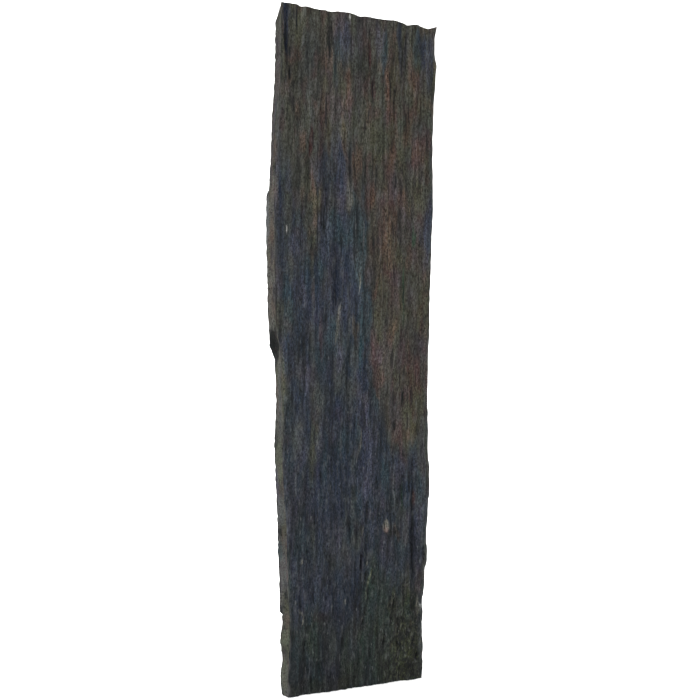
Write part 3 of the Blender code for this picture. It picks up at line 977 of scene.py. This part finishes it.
def coverStain(tree, colour, breakUp):
    # as cover, and also tells the cool stains from the warm ones
    painted = addNode(tree, "ShaderNodeAttribute", attribute_name="stain")
    share = calculate(tree, "MULTIPLY", painted.outputs["Alpha"], breakUp, clamp=True)
    parts = addNode(tree, "ShaderNodeSeparateColor", {0: painted.outputs["Color"]})
    difference = calculate(tree, "SUBTRACT", parts.outputs[2], parts.outputs[0])
    cool = spread(tree, difference, 0.000, 0.006)
    cool = calculate(tree, "MULTIPLY", cool, painted.outputs["Alpha"])
    return blend(tree, share, colour, painted.outputs["Color"]), cool


def makeRivenMaterial(name, look, seed):
    material, tree, shader, place = startMaterial(name)
    parts = addNode(tree, "ShaderNodeSeparateXYZ", {0: place})
    height = parts.outputs[2]
    broad = streak(tree, place, 0.020, 0.160, seed=seed + 1.0)
    long = streak(tree, place, 0.0030, 0.085, seed=seed + 2.0)
    middle = streak(tree, place, 0.0024, 0.020, seed=seed + 3.0)
    short = streak(tree, place, 0.0017, 0.0046, seed=seed + 4.0, roughness=0.75)
    crack = streak(tree, place, 0.0042, 0.046, seed=seed + 5.0, roughness=0.4)
    grain = useGroup(tree, groups["grain"], {"Vector": place, "Size": 0.0011, "Stretch": 2.0})

    rise = calculate(tree, "MULTIPLY_ADD", broad, 0.18, height)
    lower = spread(tree, rise, 0.10, 0.55, smooth=True)
    upper = spread(tree, rise, 0.55, 1.00, smooth=True)
    colour = blend(tree, lower, linear(*look["foot"]), linear(*look["middle"]))
    colour = blend(tree, upper, colour, linear(*look["head"]))
    breakUp = spread(tree, calculate(tree, "ADD", middle, short), 0.6, 1.4, 0.45, 1.25)
    colour, cool = coverStain(tree, colour, breakUp)
    cool = calculate(tree, "MAXIMUM", cool, spread(tree, height, 0.20, 0.08, 0.0, 0.8))
    varied = calculate(tree, "MULTIPLY", breakUp, spread(tree, height, 0.05, 0.22, 0.60, 1.0))
    for index, (shade, width, length, rarity, warmShare, coolShare) in enumerate(rivenTints):
        cloud = streak(tree, place, width, length, seed=seed + 10.0 + 2.3 * index, roughness=0.30)
        mask = spread(tree, cloud, rarity, rarity + 0.35, smooth=True)
        mask = calculate(tree, "MULTIPLY", mask, varied)
        share = calculate(tree, "MULTIPLY", mask, spread(tree, cool, 0.0, 1.0, warmShare, coolShare))
        colour = blend(tree, share, colour, linear(*pigments[shade]))
    strand = streak(tree, place, 0.0021, 0.026, seed=seed + 7.0, roughness=0.5)
    colour = cover(tree, "markAndShade", colour, spread(tree, strand, 0.25, 0.60, 0.25, 1.35))

    tone = calculate(tree, "MULTIPLY", long, 0.12)
    tone = calculate(tree, "MULTIPLY_ADD", middle, 0.12, tone)
    tone = calculate(tree, "MULTIPLY_ADD", short, 0.62, tone)
    tone = calculate(tree, "MULTIPLY_ADD", grain.outputs["Speckle"], 0.14, tone)
    factor = spread(tree, tone, 0.25, 0.75, look["streakDark"], look["streakPale"])
    # darker towards the foot
    darkerTowardsFoot = spread(tree, rise, 0.05, 0.55, look["footDarkening"], 1.0)
    factor = calculate(tree, "MULTIPLY", factor, darkerTowardsFoot)
    band = streak(tree, place, 0.0085, 0.110, seed=seed + 8.0, roughness=0.4)
    factor = calculate(tree, "MULTIPLY", factor, spread(tree, band, 0.15, 0.85, 0.70, 1.30))
    shade = streak(tree, place, 0.0180, 0.200, seed=seed + 9.0, roughness=0.4)
    factor = calculate(tree, "MULTIPLY", factor, spread(tree, shade, 0.20, 0.80, 0.86, 1.14))
    # bright grains are greyer and dark ones stronger in colour
    vivid = spread(tree, tone, 0.25, 0.75, look["vivid"][0], look["vivid"][1])
    colour = addNode(tree, "ShaderNodeHueSaturation", {"Saturation": vivid, "Color": colour})
    scaled = addNode(tree, "ShaderNodeVectorMath", {0: colour.outputs[0]}, operation="SCALE")
    tree.links.new(factor, scaled.inputs["Scale"])

    relief = addNode(tree, "ShaderNodeAttribute", attribute_name="relief").outputs["Fac"]
    edge = addNode(tree, "ShaderNodeAttribute", attribute_name="edge").outputs["Fac"]
    wearAndShading = useGroup(tree, groups["wearAndShading"], {"Relief": relief, "Edge": edge, "Streak": middle,
                                           "Amount": 1.0})
    # painted shade in the hollows, then painted highlight on proud relief together with paler rubbed
    # edges
    colour = blend(tree, calculate(tree, "MULTIPLY", wearAndShading.outputs["PaintedShade"], 0.75),
                   scaled.outputs[0], linear(*look["paintedShade"]))
    colour = blend(tree, calculate(tree, "MULTIPLY", wearAndShading.outputs["WornAndHighlight"], 0.35), colour,
                   linear(*look["worn"]))
    # dark split lines painted with the shade colour: painted shade in cracks
    split = spread(tree, crack, 0.68, 0.90, 0.0, look["crack"], smooth=True)
    colour = blend(tree, split, colour, linear(*look["paintedShade"]))
    # the crumbled foot of the right side: small pits painted dark as painted shade, with paler crumbs
    # between them
    crumbs = streak(tree, place, 0.0032, 0.0050, seed=seed + 27.0, roughness=0.6)
    crumbled = calculate(tree, "MULTIPLY", spread(tree, height, 0.190, 0.090),
                         spread(tree, parts.outputs[0], 0.036, 0.066))
    pits = calculate(tree, "MULTIPLY", crumbled, spread(tree, crumbs, 0.40, 0.16, 0.0, 0.85))
    colour = blend(tree, pits, colour, linear(*look["paintedShade"]))
    crumbs = calculate(tree, "MULTIPLY", crumbled, spread(tree, crumbs, 0.62, 0.90, 0.0, 0.36))
    colour = blend(tree, crumbs, colour, linear(*look["crumb"]))
    # thin pale flecks: painted glints, stronger lower down
    paintedGlint = streak(tree, place, 0.0024, 0.0110, seed=seed + 6.0, roughness=0.4)
    shine = spread(tree, paintedGlint, 0.78, 1.00, 0.0, 1.0, smooth=True)
    shine = calculate(tree, "MULTIPLY", shine, spread(tree, height, 0.7, 0.1, 0.25, look["paintedGlint"]))
    colour = blend(tree, shine, colour, linear(*look["worn"]))
    tree.links.new(colour, shader.inputs["Base Color"])
    rough = spread(tree, tone, 0.2, 0.8, look["roughness"][1], look["roughness"][0])
    tree.links.new(rough, shader.inputs["Roughness"])
    bumpHeight = calculate(tree, "MULTIPLY_ADD", middle, 1.0, calculate(tree, "MULTIPLY", short, 0.7))
    bumpHeight = calculate(tree, "MULTIPLY_ADD", grain.outputs["Height"], 0.4, bumpHeight)
    bump = addNode(tree, "ShaderNodeBump", {"Height": bumpHeight, "Strength": look["bump"],
                                            "Distance": 0.0006})
    tree.links.new(bump.outputs["Normal"], shader.inputs["Normal"])
    shader.inputs["Specular IOR Level"].default_value = 0.15
    return material


dressedEdge = {
    "pale": (70, 70, 65),
    "dark": (15, 16, 17),
    "warm": (60, 54, 49),
    "moss": (54, 56, 42),
    "cool": (52, 52, 58),
    "vein": (78, 66, 62),
    "seam": (36, 38, 38),
    "roughness": (0.70, 0.92),
    "bump": 0.8,
}


def makeDressedMaterial(look):
    material, tree, shader, place = startMaterial("dressed edge")
    parts = addNode(tree, "ShaderNodeSeparateXYZ", {0: place})
    turned = addNode(tree, "ShaderNodeCombineXYZ", {0: parts.outputs[1], 1: parts.outputs[0],
                                                    2: parts.outputs[2]}).outputs[0]
    laminae = streak(tree, turned, 0.0022, 0.030, lean=0.0, seed=61.0, roughness=0.7)
    crumbs = streak(tree, turned, 0.0052, 0.0044, lean=0.0, seed=62.0, roughness=0.75)
    broad = streak(tree, turned, 0.030, 0.060, lean=0.0, seed=63.0)
    patchy = streak(tree, turned, 0.012, 0.034, lean=0.0, seed=64.0)
    grain = useGroup(tree, groups["grain"], {"Vector": place, "Size": 0.0020, "Stretch": 1.3})
    colour = blend(tree, spread(tree, broad, 0.45, 0.75), linear(*look["pale"]), linear(*look["warm"]))
    colour = blend(tree, spread(tree, patchy, 0.55, 0.80, 0.0, 0.8), colour, linear(*look["moss"]))
    colour = blend(tree, spread(tree, patchy, 0.40, 0.15, 0.0, 0.7), colour, linear(*look["cool"]))
    broken = calculate(tree, "MULTIPLY_ADD", laminae, 0.6, crumbs)
    pits = spread(tree, broken, 0.72, 0.38, 0.0, 0.85, smooth=True)
    colour = blend(tree, pits, colour, linear(*look["dark"]))
    veins = streak(tree, turned, 0.0070, 0.045, lean=0.0, seed=66.0, roughness=0.7)
    colour = blend(tree, spread(tree, veins, 0.55, 0.80, 0.0, 0.60), colour, linear(*look["vein"]))
    colour = blend(tree, spread(tree, veins, 0.42, 0.18, 0.0, 0.70), colour, linear(*look["seam"]))
    colour = cover(tree, "markAndShade", colour, spread(tree, crumbs, 0.20, 0.60, 0.75, 1.15))
    speckled = spread(tree, grain.outputs["Speckle"], 0.0, 1.0, 0.38, 1.48)
    scaled = addNode(tree, "ShaderNodeVectorMath", {0: colour}, operation="SCALE")
    tree.links.new(speckled, scaled.inputs["Scale"])
    tree.links.new(scaled.outputs[0], shader.inputs["Base Color"])
    rough = spread(tree, crumbs, 0.2, 0.8, look["roughness"][1], look["roughness"][0])
    tree.links.new(rough, shader.inputs["Roughness"])
    height = calculate(tree, "MULTIPLY_ADD", grain.outputs["Height"], 0.5, broken)
    bump = addNode(tree, "ShaderNodeBump", {"Height": height, "Strength": look["bump"],
                                            "Distance": 0.0010})
    tree.links.new(bump.outputs["Normal"], shader.inputs["Normal"])
    shader.inputs["Specular IOR Level"].default_value = 0.15
    return material


sawnFoot = {"pale": (84, 86, 88), "dark": (62, 65, 68), "roughness": (0.5, 0.7)}


def makeSawnMaterial(look):
    material, tree, shader, place = startMaterial("sawn foot")
    marks = addNode(tree, "ShaderNodeTexWave", {
        "Vector": place, "Scale": 90.0, "Distortion": 1.5, "Detail": 2.0, "Detail Scale": 1.5})
    grain = useGroup(tree, groups["grain"], {"Vector": place, "Size": 0.0016, "Stretch": 1.0})
    tone = calculate(tree, "MULTIPLY_ADD", marks.outputs["Fac"], 0.3, grain.outputs["Speckle"])
    colour = blend(tree, spread(tree, tone, 0.3, 1.1), linear(*look["dark"]), linear(*look["pale"]))
    tree.links.new(colour, shader.inputs["Base Color"])
    rough = spread(tree, tone, 0.3, 1.1, look["roughness"][0], look["roughness"][1])
    tree.links.new(rough, shader.inputs["Roughness"])
    bump = addNode(tree, "ShaderNodeBump", {"Height": marks.outputs["Fac"], "Strength": 0.3,
                                            "Distance": 0.0003})
    tree.links.new(bump.outputs["Normal"], shader.inputs["Normal"])
    return material


data = buildSlab()
data.materials.append(makeRivenMaterial("riven face", rivenFace, 0.0))
data.materials.append(makeRivenMaterial("riven back", rivenFace, 30.0))
data.materials.append(makeDressedMaterial(dressedEdge))
data.materials.append(makeSawnMaterial(sawnFoot))
rivenSlab = placeSlab(data)
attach(rivenSlab, "root")
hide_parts("slate_slab")
print("slab made:", sum(len(face.vertices) - 2 for face in data.polygons), "triangles")

# ---- floor, backdrop, light and camera ------------------------------------------------------
studio = {
    "floorWidth": 9.0,
    "floorFront": -4.0,
    "floorBack": 1.6,
    "sweepRadius": 1.2,
    "wallTop": 4.5,
    "sweepSteps": 16,
    "floorColour": (0.92, 0.92, 0.92, 1.0),
    "skyColour": (1.0, 1.0, 1.0, 1.0),
    "skyStrength": 0.48,
}


def buildSweep():
    profile = [(studio["floorFront"], 0.0)]
    for step in range(studio["sweepSteps"] + 1):
        turn = math.pi / 2 * step / studio["sweepSteps"]
        y = studio["floorBack"] + studio["sweepRadius"] * math.sin(turn)
        profile.append((y, studio["sweepRadius"] * (1.0 - math.cos(turn))))
    profile.append((studio["floorBack"] + studio["sweepRadius"], studio["wallTop"]))
    half = studio["floorWidth"] / 2
    mesh = bmesh.new()
    pairs = [(mesh.verts.new((-half, y, z)), mesh.verts.new((half, y, z))) for y, z in profile]
    for low, high in zip(pairs, pairs[1:]):
        mesh.faces.new((low[0], low[1], high[1], high[0])).smooth = True
    data = bpy.data.meshes.new("studio_floor")
    mesh.to_mesh(data)
    mesh.free()
    material = bpy.data.materials.new("studio floor")
    material.use_nodes = True
    shader = material.node_tree.nodes["Principled BSDF"]
    shader.inputs["Base Color"].default_value = studio["floorColour"]
    shader.inputs["Roughness"].default_value = 0.9
    data.materials.append(material)
    sweep = bpy.data.objects.new("studio_floor", data)
    bpy.context.scene.collection.objects.link(sweep)


def addSoftLight(name, place, target, size, power):
    light = bpy.data.lights.new(name, "AREA")
    light.shape = "SQUARE"
    light.size = size
    light.energy = power
    lamp = bpy.data.objects.new(name, light)
    lamp.location = place
    lamp.rotation_euler = (Vector(target) - Vector(place)).to_track_quat("-Z", "Y").to_euler()
    bpy.context.scene.collection.objects.link(lamp)


def makeSky():
    # seen directly the sky is as white as the floor, but it lights the slab less strongly
    world = bpy.data.worlds.new("studio")
    world.use_nodes = True
    tree = world.node_tree
    rays = tree.nodes.new("ShaderNodeLightPath").outputs["Is Camera Ray"]
    strength = spread(tree, rays, 0.0, 1.0, studio["skyStrength"], 1.0)
    sky = tree.nodes["Background"]
    sky.inputs["Color"].default_value = studio["skyColour"]
    tree.links.new(strength, sky.inputs["Strength"])
    bpy.context.scene.world = world


buildSweep()
makeSky()
addSoftLight("key", (-2.4, -1.6, 2.6), (0.0, 0.0, 0.5), 1.2, 80.0)
addSoftLight("top", (0.0, 0.4, 3.4), (0.0, 0.4, 0.0), 3.0, 120.0)
addSoftLight("backdrop", (0.0, 0.3, 2.8), (0.0, 2.8, 0.9), 1.5, 120.0)
addSoftLight("back", (2.0, 1.4, 1.6), (0.0, 0.0, 0.5), 1.0, 25.0)

view = {
    "place": (-0.7101, -1.5152, 0.5412),  # from the slab's own origin, on its front face
    "turn": 24.69,  # degrees to the right of straight on
    "tilt": 1.31,  # degrees below level
    "lens": 58.2,
}
camera = bpy.data.objects.new("camera", bpy.data.cameras.new("camera"))
camera.data.lens = view["lens"]
camera.location = Vector(view["place"]) + rivenSlab.location
camera.rotation_euler = (math.radians(90.0 - view["tilt"]), 0.0, -math.radians(view["turn"]))
bpy.context.scene.collection.objects.link(camera)
bpy.context.scene.camera = camera
bpy.context.scene.view_settings.view_transform = "Standard"
print("studio made")
